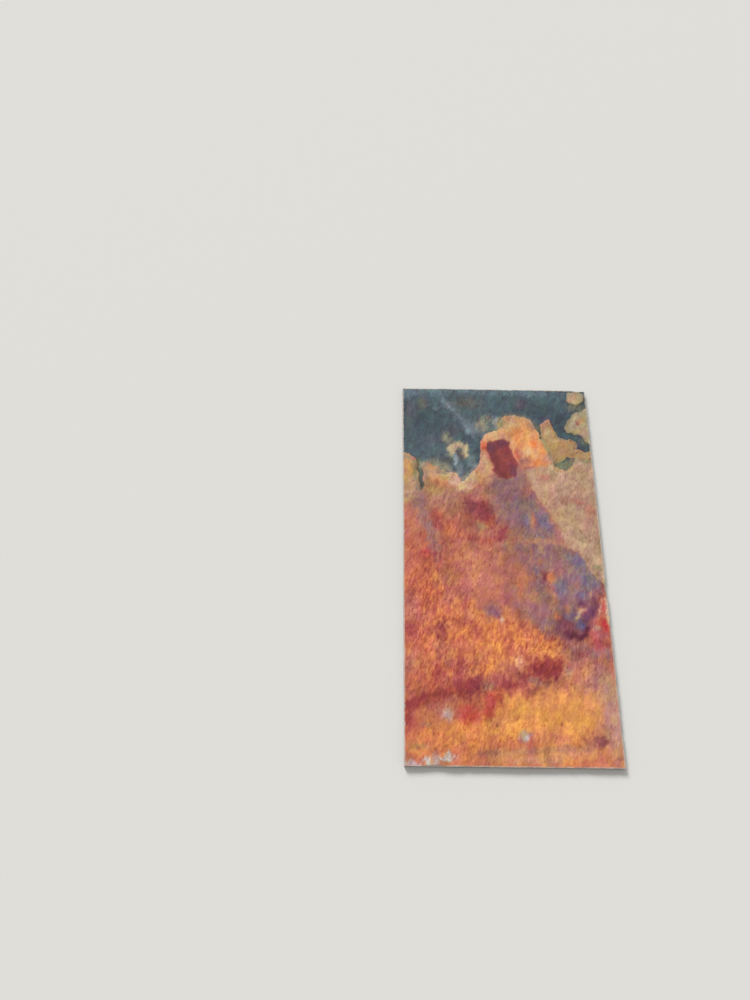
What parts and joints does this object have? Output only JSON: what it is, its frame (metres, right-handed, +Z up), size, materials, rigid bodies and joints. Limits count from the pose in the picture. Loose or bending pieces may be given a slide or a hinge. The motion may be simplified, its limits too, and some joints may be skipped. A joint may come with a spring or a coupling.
{
  "type": "slate roof tile",
  "caption": "Natural cleft multicolour slate tile, long rectangle with sawn edges and a flat back, riven face up.",
  "frame": {"origin": "middle of the flat back, on the surface that the tile lies on", "axes": "+X across the tile, +Y along its length towards the blue-grey end, +Z up out of the riven face"},
  "size_m": [0.3, 0.6, 0.01],
  "materials": {
    "slate": "natural cleft slate, rust orange and ochre over blue-grey, sawn edges"
  },
  "bodies": {
    "root": {"slate_tile": "slate"}
  },
  "joints": []
}
